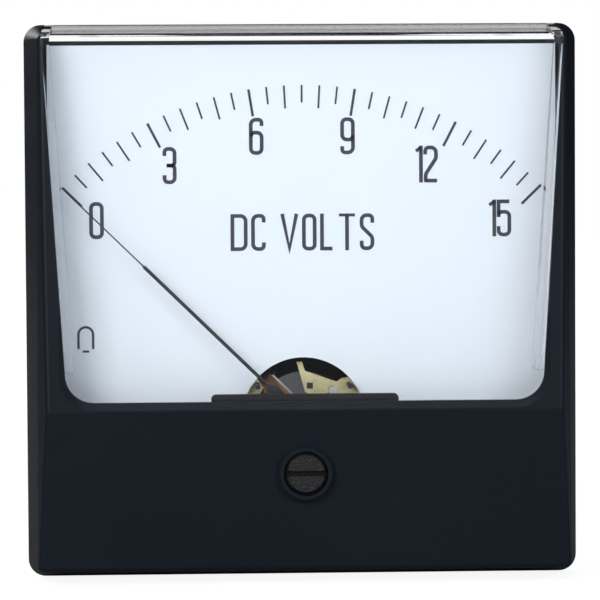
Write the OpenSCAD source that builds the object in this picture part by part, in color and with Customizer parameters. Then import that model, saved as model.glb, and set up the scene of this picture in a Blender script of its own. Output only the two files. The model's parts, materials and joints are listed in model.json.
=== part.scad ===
// Analog panel meter: a moving-coil instrument behind a tapered black front
// with a clear cover, on a round barrel that passes through the panel.
// Frame: origin at the centre of the panel face, on the barrel's axis.
// +Z is up, +X is right seen from the front, and the front faces -Y.

/* [Front] */
// Width of the front at the panel
front_w = 80; // [76:0.5:90]
// Height of the front at the panel
front_h = 80; // [76:0.5:90]
// Radius of the front's corners
front_corner_r = 2.5; // [1.5:0.1:3.5]
// Depth of the top front edge, ahead of the panel
top_depth = 11.5; // [11.2:0.1:14]
// Depth of the ridge below the window
ridge_depth = 15.3; // [14.8:0.1:18]
// Depth of the bottom front edge
bottom_depth = 12.8; // [12.6:0.1:15]
// How far the sides lean in between the panel and the top front edge
top_draft = 2.4; // [1:0.1:3]
// How far the sides lean in between the panel and the ridge
ridge_draft = 3.3; // [2:0.1:4]
// How far the top leans down towards the front
top_lean = 1.8; // [0.8:0.1:2.2]
// How far the bottom leans up towards the front
bottom_lean = 2; // [0.8:0.1:3]
// Height of the ridge
ridge_z = -15.1; // [-16:0.1:-14.7]
// Radius of the front's outer edges
edge_r = 0.8; // [0.4:0.1:1.2]
// Wall of the front case
case_wall = 2; // [1.5:0.1:2.2]
// Depth of the straight rim at the panel
rim_depth = 1; // [0.5:0.1:2]

/* [Window] */
// Half width of the window at the top edge
window_top_half = 37; // [35.5:0.1:37.1]
// Half width of the window at its lower edge
window_low_half = 33.6; // [32.5:0.1:34.2]
// Height of the window's lower edge
window_low_z = -13.8; // [-14.3:0.1:-13.3]
// Radius of the window's lower corners
window_corner_r = 4; // [2:0.1:6]
// Width of the bevel round the window at the ridge
bevel_w = 1; // [0.4:0.1:1.2]
// Depth of the window's face at its lower edge
window_low_depth = 14.1; // [13.9:0.1:14.6]
// Wall of the clear cover
window_wall = 1.1; // [0.9:0.1:1.4]
// Gap between the clear cover and the case
window_gap = 0.05; // [0.03:0.01:0.15]

/* [Dial] */
// Height of the pointer's pivot
pivot_z = -17; // [-17.6:0.1:-16.6]
// Depth of the dial's face
dial_depth = 5.8; // [5.6:0.1:6.2]
// Thickness of the dial
dial_t = 0.8; // [0.5:0.1:1]
// Gap between the dial's edge and the clear cover
dial_gap = 0.4; // [0.3:0.1:1]
// Height of the dial's lower edge
dial_low_z = -21.5; // [-23:0.1:-21]
// Half width of the dial's lower part
dial_low_half = 27; // [26:0.1:28]
// Radius of the cut-out round the pivot
hub_r = 8.9; // [8.8:0.1:10]
// Outer radius of the scale
scale_r = 48; // [46:0.1:48.4]
// Angle of the scale from end to end
scale_sweep = 91.5; // [85:0.5:93]
// Number of marks on the scale
mark_count = 31; // [16:15:61]
// Length of a long mark
mark_long = 3.9; // [3:0.1:5]
// Length of a middle mark
mark_middle = 3.3; // [2.5:0.1:4]
// Length of a short mark
mark_short = 2.5; // [1.5:0.1:3]
// Width of a long mark
mark_long_w = 0.37; // [0.2:0.01:0.5]
// Width of the other marks
mark_short_w = 0.27; // [0.15:0.01:0.4]
// Thickness of the printed marks
mark_t = 0.04; // [0.02:0.01:0.1]
// Distance of each dial screw from the middle
dial_screw_x = 22; // [19:0.5:24]
// Height of the dial screws
dial_screw_z = -18.6; // [-19:0.1:-18.2]
// Radius of a dial screw's thread
dial_screw_r = 1; // [0.8:0.1:1.2]
// Radius of a dial screw's head
dial_head_r = 1.9; // [1.6:0.1:2.1]
// Radius of a dial post
dial_post_r = 2.2; // [2:0.1:2.6]

/* [Pointer] */
// Depth of the pointer's middle plane
pointer_depth = 8.1; // [8:0.05:8.3]
// Length from the pivot to the tip
pointer_len = 47.6; // [45:0.1:48]
// Length from the pivot to the end of the stout part
pointer_stout = 31.8; // [25:0.1:36]
// Radius of the stout part
pointer_r = 0.26; // [0.2:0.01:0.35]
// Radius of the thin tip
tip_r = 0.1; // [0.08:0.01:0.15]
// Length of the pointer's root
root_len = 7.2; // [6.5:0.1:7.5]
// Thickness of the pointer's root and balance arms
root_t = 0.7; // [0.5:0.05:0.9]
// Distance of each balance weight from the pivot
balance_r = 5.9; // [5:0.1:6]
// Radius of a balance weight
weight_r = 0.6; // [0.4:0.05:0.7]
// Length of a balance weight
weight_len = 1.4; // [1:0.1:1.8]
// Distance of the stops from the pivot
stop_r = 8.2; // [8.1:0.05:8.3]
// Radius of a stop's sleeve
stop_pin_r = 0.35; // [0.3:0.05:0.4]
// How far the pointer travels below zero
pointer_under = 1; // [0.5:0.1:1.2]
// How far the pointer travels past full scale
pointer_over = 1; // [0.5:0.1:1.2]

/* [Movement] */
// Room between the yoke and the barrel's wall
yoke_room = 1.1; // [0.9:0.1:1.6]
// Wall of the yoke
yoke_wall = 3.1; // [2.6:0.1:3.3]
// Width of the air gap between the core and the yoke
air_gap = 2.8; // [2.7:0.1:3.1]
// Length of the core magnet
core_len = 12; // [10:0.5:14]
// Gap between the core's side and the coil
coil_side_gap = 0.5; // [0.4:0.05:0.6]
// Thickness of the coil's former
former_t = 0.35; // [0.25:0.05:0.4]
// Thickness of the winding
winding_t = 0.75; // [0.5:0.05:0.8]
// Width of the coil's former
coil_w = 3; // [2.4:0.1:3.2]
// Gap between the core's ends and the coil
coil_end_gap = 0.5; // [0.4:0.1:1]
// Angle covered by each support of the core
core_hold_angle = 40; // [30:1:44]
// Thickness of the movement's frame
frame_t = 1; // [0.8:0.1:1.2]
// Thickness of the brass plate over the coil
brass_t = 0.6; // [0.4:0.1:0.7]
// Thickness of the front bridge
bridge_t = 0.8; // [0.6:0.1:0.9]
// Distance of each bridge post from the yoke's outer edge
post_edge = 1.5; // [1.4:0.05:1.6]
// Radius of a bridge post
post_r = 1.5; // [1.3:0.1:1.8]
// Radius of the jewel screws' thread
jewel_r = 1.5; // [1.3:0.1:1.7]
// Radius of the pivots
spindle_r = 0.4; // [0.3:0.05:0.45]
// Thickness of a hairspring's strip
spring_t = 0.12; // [0.08:0.01:0.15]
// Width of a hairspring's strip
spring_w = 0.5; // [0.4:0.05:0.55]
// Turns of a hairspring
spring_turns = 4; // [3:1:5]
// Outer radius of a hairspring
spring_r = 3.1; // [2.8:0.1:3.2]
// Gap round the turning parts that run in a hole
running_gap = 0.05; // [0.03:0.01:0.08]

/* [Zero adjuster] */
// Height of the zero screw
zero_z = -24; // [-24.4:0.1:-23.6]
// Radius of the zero screw's head
zero_head_r = 2.9; // [2.6:0.1:3]
// Outer radius of the raised collar
collar_r = 3.95; // [3.8:0.05:4.3]
// Height of the collar above the face
collar_h = 0.9; // [0.6:0.1:1.2]
// Gap between the collar and the head
head_gap = 0.25; // [0.15:0.05:0.3]
// Depth of the head's recess in the collar
head_sink = 0.25; // [0.1:0.05:0.5]
// Thickness of the zero screw's head
head_t = 1; // [0.8:0.1:1.1]
// Width of the screwdriver slot
slot_w = 0.75; // [0.5:0.05:1]
// Depth of the screwdriver slot
slot_d = 0.6; // [0.4:0.05:0.7]
// Radius of the zero screw's shaft
zero_shaft_r = 1.4; // [1.2:0.1:1.6]
// Distance of the driving pin from the screw's axis
crank_r = 0.5; // [0.45:0.05:0.55]
// Radius of the driving pin
crank_pin_r = 0.4; // [0.3:0.05:0.45]
// Gap on each side of the driving pin in the fork
fork_gap = 0.15; // [0.12:0.01:0.2]
// Thickness of the zero lever
lever_t = 0.5; // [0.4:0.05:0.5]

/* [Barrel] */
// Outer radius of the barrel
barrel_r = 32.5; // [31.5:0.1:33]
// Wall of the barrel
barrel_wall = 2; // [1.5:0.1:2.1]
// Length of the barrel behind the panel
barrel_len = 34; // [30:0.5:45]
// Thickness of the barrel's end wall
end_wall = 2.5; // [2:0.1:3.5]
// Thickness of the base plate inside the front
base_t = 2.4; // [2:0.1:2.6]
// Gap between the base plate and the case
base_gap = 0.2; // [0.1:0.05:0.4]

/* [Fastenings] */
// Distance of each mounting stud from the front's edges
stud_edge = 9; // [8.5:0.5:10]
// Radius of the mounting studs
stud_r = 1.5; // [1.25:0.25:2]
// Length of the mounting studs behind the panel
stud_len = 16; // [10:0.5:25]
// Distance of each terminal from the middle
terminal_x = 12.7; // [10:0.1:16]
// Height of the terminals
terminal_z = 4; // [2:0.5:8]
// Radius of the terminal studs
terminal_r = 2.5; // [2:0.25:3]
// Length of the terminal studs behind the barrel
terminal_len = 18; // [14:0.5:30]
// Distance of each case screw from the front's side
case_screw_edge = 6.6; // [6.4:0.1:7]
// Height of the case screws
case_screw_z = -21.5; // [-22.5:0.1:-20.5]
// Radius of the case screws
case_screw_r = 1.25; // [1:0.05:1.4]

/* [Resistor] */
// Height of the resistor
resistor_z = 17; // [16:0.5:18]
// Radius of the resistor's flanges
resistor_r = 6; // [5:0.5:7]
// Length of the resistor's bobbin
resistor_len = 14; // [10:0.5:16]
// Radius of the wires
wire_r = 0.5; // [0.4:0.05:0.7]

/* [Hidden] */
$fn = 64;
hull_fn = 32;
eps = 0.01;

// The front
half_w = front_w / 2;
half_h = front_h / 2;
top_z = half_h - top_lean;
bottom_z = -half_h + bottom_lean;
face_slope = (ridge_depth - bottom_depth) / (ridge_z - bottom_z);
function chin_at(z) = ridge_depth - face_slope * (ridge_z - z);
chin_at_zero = chin_at(zero_z);
window_slope = (window_low_depth - top_depth) / (top_z - window_low_z);
seat_y = -base_t;

// Radii of the movement, from the room between the pivot and the barrel's wall
yoke_out_r = barrel_r - barrel_wall + pivot_z - yoke_room;
yoke_in_r = yoke_out_r - yoke_wall;
core_r = yoke_in_r - air_gap;
coil_half = core_r + coil_side_gap;
post_x = yoke_out_r - post_edge;

// Planes of the movement, counted from the panel face towards the front
swing_gap = 0.8;
frame_y = seat_y - frame_t;
brass_y = frame_y - brass_t;
dial_y = -dial_depth;
pointer_y = -pointer_depth;
window_side_y = pointer_y - pointer_r - 0.4;
core_y = frame_y + swing_gap + winding_t + former_t + coil_end_gap;
coil_front_y = core_y - coil_end_gap - former_t;
coil_rear_y = core_y + core_len + coil_end_gap + former_t;
spring_y = pointer_y - root_t / 2 - 0.7;
lever_y = spring_y - spring_w - 0.3;
bridge_y = lever_y - lever_t - 0.2;
under_top_z = half_h - window_wall + top_lean * window_side_y / top_depth - 0.1;
shield_y = bridge_y - bridge_t;
shield_t = 0.7;
shield_half = 13.3;
shield_top_z = window_low_z + 0.9;
shield_low_z = pivot_z - 3.2;
rest_angle = -scale_sweep / 2;

// The zero adjuster
collar_y = -chin_at_zero - collar_h;
head_y = collar_y + head_sink;
fork_z = zero_z + crank_r;
clip_t = 0.4;
clip_w = 0.9;
clip_y = -chin_at_zero + case_wall + 0.1;
zero_turn = 30;

// The fastenings
small_head_h = 0.6;
stud_head_af = 5.5;
stud_head_t = 1.8;
// The knurled root that holds a stud in the base plate stands this much proud
stud_knurl = 0.25;
terminal_head_t = 1.5;
washer_t = 1;
washer_r = terminal_r * 2;
terminal_nut_af = terminal_r * 3.2;
terminal_nut_t = terminal_r * 1.6;
rear_y = barrel_len;
inner_rear_y = rear_y - end_wall;
barrel_in_r = barrel_r - barrel_wall;
case_screw_x = half_w - case_screw_edge;
stud_x = half_w - stud_edge;
stud_z = half_h - stud_edge;
boss_r = 2.6;
rear_bridge_y = coil_rear_y + winding_t + 3.2;
lug_t = 0.5;

// The moving system
collet_t = 0.4;
collet_r = 1.3;
spring_collet_r = 0.8;
rear_spring_y = coil_rear_y + winding_t + 1;
lever_turn = atan(crank_r * sin(zero_turn) / (pivot_z - zero_z - crank_r * cos(zero_turn)));
stop_reach = asin((pointer_r + stop_pin_r) / stop_r);
stop_angle = scale_sweep / 2 + lever_turn + max(pointer_under, pointer_over) + stop_reach + 0.4;
post_screw_r = 0.8;
jewel_nut_t = 0.5;
jewel_nut_af = 4.6;
front_jewel_y = shield_y - shield_t - jewel_nut_t;
rear_jewel_y = rear_bridge_y + bridge_t + jewel_nut_t + 0.8;
frame_screw_z = -20.5;
frame_screw_x = sqrt(pow(barrel_r + 1.8, 2) - pow(frame_screw_z, 2));
frame_screw_r = 1;
frame_half = frame_screw_x + 2;
frame_low_z = frame_screw_z - 5.5;
tap_depth = 2.4;
tap_room = 0.2;
spigot_len = 3;
dial_screw_len = 2.2;
case_screw_len = 7;
case_head_h = 1.2;
blind_floor = 0.4;
pillar_h = 2;
pillar_r = 3.5;
terminal_ring_h = 1;
lug_tail = 11;
lug_hole_edge = 1.5;
resistor_core_r = 2.6;
resistor_y = inner_rear_y - pillar_h - resistor_len;

// A cylinder along Y from y0 to y1 round the point x, z
module rod(x, z, y0, y1, r) {
    translate([x, y0, z])
        rotate([-90, 0, 0])
            cylinder(h = y1 - y0, r = r);
}

// A cone along Y from y0 to y1 round the point x, z
module taper(x, z, y0, y1, r0, r1) {
    translate([x, y0, z])
        rotate([-90, 0, 0])
            cylinder(h = y1 - y0, r1 = r0, r2 = r1);
}

// An outline drawn in x and z, given thickness from y0 to y1
module plate(y0, y1) {
    translate([0, y1, 0])
        rotate([90, 0, 0])
            linear_extrude(y1 - y0)
                children();
}

// A six-sided prism along Y
module hexagon(x, z, y0, y1, across) {
    translate([x, y0, z])
        rotate([-90, 0, 0])
            cylinder(h = y1 - y0, d = across / cos(30), $fn = 6);
}

// A countersunk or pan-headed screw with a slot, its head towards -Y
module slotted_screw(x, z, y, head_r, head_h, r, length) {
    difference() {
        union() {
            rod(x, z, y - head_h, y, head_r);
            rod(x, z, y, y + length, r);
        }
        translate([x - head_r - 1, y - head_h - 1, z - 0.2])
            cube([2 * head_r + 2, 1 + head_h / 2, 0.4]);
    }
}

// A wire of eight flats through a list of points, each length running a little past its ends
module bent_wire(points, r) {
    run_past = 0.4 * r;
    for (i = [0 : len(points) - 2]) {
        along = points[i + 1] - points[i];
        length = norm(along);
        translate(points[i] - run_past * along / length)
            rotate([0, acos(along[2] / length), atan2(along[1], along[0])])
                cylinder(h = length + 2 * run_past, r = r, $fn = 8);
    }
}

// A square with round corners, of half width w and half height h
module rounded_square(w, h, r) {
    translate([-w + r, -h + r])
        square([2 * (w - r), 2 * (h - r)]);
    for (x = [-w + r, w - r])
        translate([x - r, -h + r])
            square([2 * r, 2 * (h - r)]);
    for (z = [-h + r, h - r])
        translate([-w + r, z - r])
            square([2 * (w - r), 2 * r]);
    for (x = [-w + r, w - r], z = [-h + r, h - r])
        translate([x, z])
            circle(r);
}

// The tapered block of the front, made smaller by inset on every side
module front_block(inset, front_inset) {
    r = edge_r;
    hull() {
        plate(-rim_depth, 0)
            rounded_square(half_w - inset, half_h - inset, front_corner_r, $fn = hull_fn);
        for (side = [-1, 1]) {
            translate([side * (half_w - top_draft - inset - r), -top_depth + front_inset + r, top_z - inset - r])
                sphere(r, $fn = hull_fn);
            translate([side * (half_w - ridge_draft - inset - r), -ridge_depth + front_inset + r, ridge_z])
                sphere(r, $fn = hull_fn);
            translate([
                side * (half_w - bottom_lean - inset - r),
                -bottom_depth + front_inset + r,
                bottom_z + inset + r
            ])
                sphere(r, $fn = hull_fn);
        }
    }
}

// The outline of the window, made smaller by inset, open at the top
module window_outline(inset, top) {
    r = window_corner_r - inset;
    low = window_low_z + inset;
    slope = (window_top_half - window_low_half) / (top_z - window_low_z);
    lean = atan(slope);
    // The corner's circle touches the lower edge and the leaning side
    x_low = window_low_half - inset / cos(lean);
    x_centre = x_low - r * (1 / cos(lean) - slope);
    x_top = x_low + slope * (top - window_low_z);
    hull() {
        for (side = [-1, 1])
            translate([side * x_centre, low + r])
                circle(r, $fn = hull_fn);
        polygon([[-x_top, top], [x_top, top], [x_centre, low + r], [-x_centre, low + r]]);
    }
}

// The space in front of the window's face
module ahead_of_window(back = 0) {
    reach = 20;
    low = window_low_z - 8;
    high = half_h + 5;
    y_low = -window_low_depth + window_slope * (low - window_low_z) + back;
    y_high = -window_low_depth + window_slope * (high - window_low_z) + back;
    rotate([90, 0, 90])
        translate([0, 0, -half_w - 5])
            linear_extrude(front_w + 10)
                polygon([[y_low, low], [y_high, high], [-ridge_depth - reach, high], [-ridge_depth - reach, low]]);
}

// The wedge cut away round the opening, widest at the ridge
module window_bevel() {
    rise = ridge_depth - window_low_depth;
    tip = 0.3;
    intersection() {
        hull() {
            plate(-ridge_depth - tip, -ridge_depth - tip + eps)
                window_outline(-window_gap - bevel_w * (1 + tip / rise), half_h + 5);
            plate(-window_low_depth - eps, -window_low_depth)
                window_outline(-window_gap, half_h + 5);
        }
        ahead_of_window();
    }
}

module front_case() {
    color([0.09, 0.1, 0.12]) difference() {
        union() {
            difference() {
                front_block(0, 0);
                front_block(case_wall, case_wall);
                // Room for the base plate
                plate(seat_y - base_gap, eps)
                    rounded_square(half_w - case_wall - eps, half_h - case_wall - eps, front_corner_r / 2);
                // The opening for the clear cover
                plate(-ridge_depth - 1, 1)
                    window_outline(-window_gap, half_h + 5);
                // A bevel all round the opening, ahead of the cover
                window_bevel();
            }
            // Collar of the zero screw
            rod(0, zero_z, collar_y + 0.3, -chin_at_zero + case_wall, collar_r);
            taper(0, zero_z, collar_y, collar_y + 0.3, collar_r - 0.3, collar_r);
            // Bosses for the case screws
            for (side = [-1, 1])
                rod(side * case_screw_x, case_screw_z, -chin_at(case_screw_z) + case_wall / 2, seat_y - 0.05, boss_r);
        }
        // Recess of the zero screw's head and the bore of its shaft
        rod(0, zero_z, collar_y - 1, head_y + head_t, zero_head_r + head_gap);
        rod(0, zero_z, -chin_at_zero - 1, -chin_at_zero + case_wall + 1, zero_shaft_r + running_gap);
        // A flat seat for the clip behind the wall
        rod(0, zero_z, -chin_at_zero + case_wall, -chin_at_zero + case_wall + 3, zero_shaft_r + clip_w + 0.3);
        for (side = [-1, 1])
            rod(side * case_screw_x, case_screw_z, -case_screw_len - tap_room, seat_y + 1, case_screw_r);
    }
}

module window() {
    color([0.8, 0.88, 0.95, 0.35]) difference() {
        intersection() {
            front_block(0, 0);
            plate(-ridge_depth - 1, 1)
                window_outline(0, half_h + 5);
        }
        ahead_of_window();
        // The hollow of the cover, open at the rear and below
        difference() {
            plate(-ridge_depth, 1)
                window_outline(window_wall, top_z - 4);
            ahead_of_window(window_wall);
        }
        difference() {
            front_block(window_wall, 0);
            ahead_of_window(window_wall);
            plate(-ridge_depth - 2, 2)
                difference() {
                    square([4 * half_w, 4 * half_h], center = true);
                    window_outline(window_wall, half_h + 5);
                }
        }
        // Nothing below the front face's lower edge but the face itself
        translate([-half_w, -window_low_depth + window_wall, window_low_z - 5])
            cube([front_w, window_low_depth, 5 + window_corner_r]);
        // The sides stop short of the pointer, and only the top runs back to the panel
        plate(window_side_y, 2)
            translate([-half_w, window_low_z - 5])
                square([front_w, under_top_z - window_low_z + 5]);
    }
}

module zero_screw() {
    color([0.1, 0.1, 0.11]) difference() {
        union() {
            taper(0, zero_z, head_y, head_y + 0.3, zero_head_r - 0.3, zero_head_r);
            rod(0, zero_z, head_y + 0.3, head_y + head_t - 0.05, zero_head_r);
            rod(0, zero_z, head_y + head_t - 0.06, clip_y + clip_t + 0.2, zero_shaft_r);
            // The pin that drives the lever, off the axis
            rod(0, fork_z, clip_y + clip_t, lever_y + 0.25, crank_pin_r);
        }
        translate([-zero_head_r - 1, head_y - 1, zero_z - slot_w / 2])
            cube([2 * zero_head_r + 2, 1 + slot_d, slot_w]);
    }
}

module zero_clip() {
    color([0.6, 0.6, 0.62]) difference() {
        rod(0, zero_z, clip_y, clip_y + clip_t, zero_shaft_r + clip_w);
        rod(0, zero_z, clip_y - 1, clip_y + clip_t + 1, zero_shaft_r);
        translate([-0.5, clip_y - 1, zero_z - 5])
            cube([1, clip_t + 2, 5]);
    }
}

// The outline of the shield and its holes
module bridge_shield() {
    corner = 0.7;
    color([0.07, 0.07, 0.08]) difference() {
        plate(shield_y - shield_t, shield_y)
            translate([0, (shield_top_z + shield_low_z) / 2])
                rounded_square(shield_half, (shield_top_z - shield_low_z) / 2, corner);
        rod(0, pivot_z, shield_y - 2, shield_y + 1, jewel_r + 0.2);
        for (side = [-1, 1])
            rod(side * post_x, pivot_z, shield_y - 2, shield_y + 1, post_screw_r);
    }
}

module dial_plate() {
    top = top_z - window_wall - dial_gap;
    half = half_w - top_draft * dial_depth / top_depth - case_wall - dial_gap;
    color([0.93, 0.94, 0.95]) difference() {
        plate(dial_y, dial_y + dial_t)
            polygon([
                [-half, top],
                [half, top],
                [half, window_low_z],
                [dial_low_half, dial_low_z],
                [-dial_low_half, dial_low_z],
                [-half, window_low_z]
            ]);
        rod(0, pivot_z, dial_y - 1, dial_y + dial_t + 1, hub_r);
        translate([-post_x - post_r - 0.6, dial_y - 1, dial_low_z - 1])
            cube([2 * (post_x + post_r + 0.6), dial_t + 2, window_low_z - dial_low_z]);
        for (side = [-1, 1])
            rod(side * dial_screw_x, dial_screw_z, dial_y - 1, dial_y + dial_t + 1, dial_screw_r + 0.1);
    }
}

// The printed marks of the scale, as raised bars
module scale_marks() {
    middle_step = 2;
    long_step = 6;
    color([0.12, 0.13, 0.16])
        for (i = [0 : mark_count - 1]) {
            a = rest_angle + i * scale_sweep / (mark_count - 1);
            is_long = i % long_step == 0;
            is_middle = i % middle_step == 0;
            length = is_long ? mark_long : is_middle ? mark_middle : mark_short;
            w = is_long ? mark_long_w : mark_short_w;
            translate([0, 0, pivot_z])
                rotate([0, a, 0])
                    translate([-w / 2, dial_y - mark_t, scale_r - length])
                        cube([w, mark_t, length]);
        }
}

module dial_screws() {
    color([0.75, 0.75, 0.77])
        for (side = [-1, 1])
            slotted_screw(side * dial_screw_x, dial_screw_z, dial_y, dial_head_r, small_head_h + 0.4,
                          dial_screw_r, dial_screw_len);
}

module dial_posts() {
    color([0.75, 0.68, 0.42])
        for (side = [-1, 1])
            difference() {
                rod(side * dial_screw_x, dial_screw_z, dial_y + dial_t, frame_y, dial_post_r);
                rod(side * dial_screw_x, dial_screw_z, dial_y, frame_y + 1, dial_screw_r);
            }
}

// Turns what follows from the top of the dial to the pointer's place at rest
module at_rest() {
    translate([0, 0, pivot_z])
        rotate([0, rest_angle, 0])
            children();
}

module pointer() {
    color([0.06, 0.06, 0.07]) at_rest()
        translate([0, pointer_y, 0]) {
            translate([0, 0, root_len])
                cylinder(h = pointer_stout - root_len, r = pointer_r, $fn = 24);
            translate([0, 0, pointer_stout - eps])
                cylinder(h = pointer_len - pointer_stout + eps, r = tip_r, $fn = 16);
        }
}

module pointer_root() {
    arm_w = 0.6;
    arm_end = balance_r - weight_r;
    color([0.06, 0.06, 0.07]) at_rest() difference() {
        plate(pointer_y - root_t / 2, pointer_y + root_t / 2) {
            circle(1.3);
            polygon([[-0.4, 0], [0.4, 0], [0.85, 3.6], [0.85, 6.2], [0.3, root_len], [-0.3, root_len],
                     [-0.85, 6.2], [-0.85, 3.6]]);
            for (turn = [90, 180, 270])
                rotate(turn)
                    translate([-arm_w / 2, 0])
                        square([arm_w, arm_end]);
        }
        rod(0, 0, pointer_y - root_t, pointer_y + root_t, spindle_r);
    }
}

module balance_weights() {
    color([0.3, 0.3, 0.32]) at_rest()
        for (turn = [90, 180, 270])
            rotate([0, turn, 0])
                rod(0, balance_r, pointer_y - weight_len / 2, pointer_y + weight_len / 2, weight_r);
}

module front_pivot() {
    tip_y = lever_y - 0.7;
    color([0.7, 0.7, 0.72]) {
        rod(0, pivot_z, coil_front_y - winding_t - collet_t, coil_front_y - winding_t, collet_r);
        rod(0, pivot_z, tip_y + 0.3, coil_front_y - winding_t - collet_t + eps, spindle_r);
        taper(0, pivot_z, tip_y, tip_y + 0.3, 0.08, spindle_r);
        // Collet of the hairspring
        rod(0, pivot_z, spring_y - spring_w, pointer_y - root_t / 2, spring_collet_r);
    }
}

module rear_pivot() {
    start = coil_rear_y + winding_t;
    tip_y = rear_bridge_y + 0.1;
    color([0.7, 0.7, 0.72]) {
        rod(0, pivot_z, start, start + collet_t, collet_r);
        rod(0, pivot_z, start + collet_t - eps, tip_y - 0.3, spindle_r);
        taper(0, pivot_z, tip_y - 0.3, tip_y, spindle_r, 0.08);
        rod(0, pivot_z, start + collet_t, rear_spring_y + spring_w, spring_collet_r);
    }
}

// The rectangle of the coil, seen along its width
module coil_ring(inner, thickness) {
    y0 = coil_front_y + former_t - inner;
    y1 = coil_rear_y - former_t + inner;
    half = coil_half + inner;
    difference() {
        translate([-half - thickness, y0 - thickness])
            square([2 * (half + thickness), y1 - y0 + 2 * thickness]);
        translate([-half, y0])
            square([2 * half, y1 - y0]);
    }
}

module coil_body(inner, thickness, width) {
    at_rest()
        rotate([0, 90, 0])
            translate([0, 0, -width / 2])
                linear_extrude(width)
                    coil_ring(inner, thickness);
}

module coil_former() {
    color([0.75, 0.76, 0.78])
        coil_body(0, former_t, coil_w);
}

module coil_winding() {
    color([0.55, 0.38, 0.18])
        coil_body(former_t, winding_t, coil_w - 0.5);
}

// A flat spiral strip, its outer end at the bottom
module hairspring(y, turns, inner_r, outer_r) {
    steps = 24 * turns;
    function at(i, offset) =
        let (a = 270 + 360 * i / 24, r = inner_r + (outer_r - inner_r) * i / steps + offset)
        [r * cos(a), r * sin(a)];
    translate([0, 0, pivot_z])
        plate(y - spring_w, y)
            polygon(concat(
                [for (i = [0 : steps]) at(i, spring_t / 2)],
                [for (i = [steps : -1 : 0]) at(i, -spring_t / 2)]
            ));
}

module front_hairspring() {
    color([0.75, 0.6, 0.3])
        hairspring(spring_y, spring_turns, spring_collet_r + spring_t / 2 + 0.03, spring_r);
}

module rear_hairspring() {
    color([0.75, 0.6, 0.3])
        hairspring(rear_spring_y + spring_w, spring_turns, spring_collet_r + spring_t / 2 + 0.03, spring_r);
}

module zero_lever() {
    tab_r = 0.3;
    tab_z = pivot_z - spring_r - spring_t / 2 - tab_r;
    fork_half = crank_pin_r + fork_gap;
    reach_z = zero_z - 0.8;
    color([0.72, 0.66, 0.4]) {
        difference() {
            plate(lever_y - lever_t, lever_y) {
                translate([0, pivot_z])
                    circle(jewel_r + 1.2);
                translate([-0.9, fork_z + 0.9])
                    square([1.8, pivot_z - fork_z - 2.4]);
                translate([-fork_half - 0.9, reach_z])
                    square([2 * fork_half + 1.8, fork_z + 2 - reach_z]);
            }
            rod(0, pivot_z, lever_y - 2, lever_y + 1, jewel_r + running_gap);
            translate([-fork_half, lever_y - 2, reach_z - 1])
                cube([2 * fork_half, 3, fork_z + 1 + crank_pin_r + 0.5 - reach_z]);
        }
        rod(0, tab_z, lever_y - eps, spring_y, tab_r);
    }
}

// The outline of a bridge across the two posts
module bridge_outline(middle_r) {
    translate([0, pivot_z])
        circle(middle_r);
    translate([-post_x, pivot_z - 1.6])
        square([2 * post_x, 3.2]);
    for (side = [-1, 1])
        translate([side * post_x, pivot_z])
            circle(2.2);
}

module front_bridge() {
    color([0.72, 0.66, 0.4]) difference() {
        plate(bridge_y - bridge_t, bridge_y)
            bridge_outline(jewel_r + 1.5);
        rod(0, pivot_z, bridge_y - 2, bridge_y + 1, jewel_r);
        for (side = [-1, 1])
            rod(side * post_x, pivot_z, bridge_y - 2, bridge_y + 1, post_screw_r);
    }
}

module rear_bridge() {
    hook_z = pivot_z - spring_r - spring_t / 2 - 0.3;
    color([0.72, 0.66, 0.4]) {
        difference() {
            plate(rear_bridge_y, rear_bridge_y + bridge_t)
                bridge_outline(spring_r + 1);
            rod(0, pivot_z, rear_bridge_y - 1, rear_bridge_y + 2, jewel_r);
            for (side = [-1, 1])
                rod(side * post_x, pivot_z, rear_bridge_y - 1, rear_bridge_y + 2, post_screw_r);
        }
        rod(0, hook_z, rear_spring_y, rear_bridge_y + eps, 0.3);
    }
}

// A screw that holds a jewel, its open end at y0
module jewel_screw(y0, y1, bore_y0, bore_y1, slot_y) {
    difference() {
        rod(0, pivot_z, y0, y1, jewel_r);
        rod(0, pivot_z, bore_y0, bore_y1, spindle_r + 0.1);
        translate([-3, slot_y, pivot_z - 0.2])
            cube([6, 1, 0.4]);
    }
}

module front_jewel() {
    end_y = lever_y + 0.1;
    color([0.8, 0.7, 0.4])
        jewel_screw(front_jewel_y, end_y, end_y - 1, end_y + 1, front_jewel_y - 0.6);
}

module rear_jewel() {
    start_y = rear_bridge_y - 0.5;
    color([0.8, 0.7, 0.4])
        jewel_screw(start_y, rear_jewel_y, start_y - 1, start_y + 1, rear_jewel_y - 0.4);
}

module jewel_nuts() {
    color([0.72, 0.66, 0.4]) {
        difference() {
            hexagon(0, pivot_z, shield_y - shield_t - jewel_nut_t, shield_y - shield_t, jewel_nut_af);
            rod(0, pivot_z, -ridge_depth, 0, jewel_r);
        }
        difference() {
            hexagon(0, pivot_z, rear_bridge_y + bridge_t, rear_bridge_y + bridge_t + jewel_nut_t, jewel_nut_af);
            rod(0, pivot_z, 0, barrel_len, jewel_r);
        }
    }
}

// A post with a spigot at its root and a tapped hole in its end
module bridge_posts() {
    color([0.75, 0.7, 0.45])
        for (side = [-1, 1])
            difference() {
                union() {
                    rod(side * post_x, pivot_z, bridge_y, brass_y, post_r);
                    rod(side * post_x, pivot_z, brass_y, seat_y + spigot_len, post_screw_r);
                }
                rod(side * post_x, pivot_z, bridge_y - 1, bridge_y + tap_depth, post_screw_r);
            }
}

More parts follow.
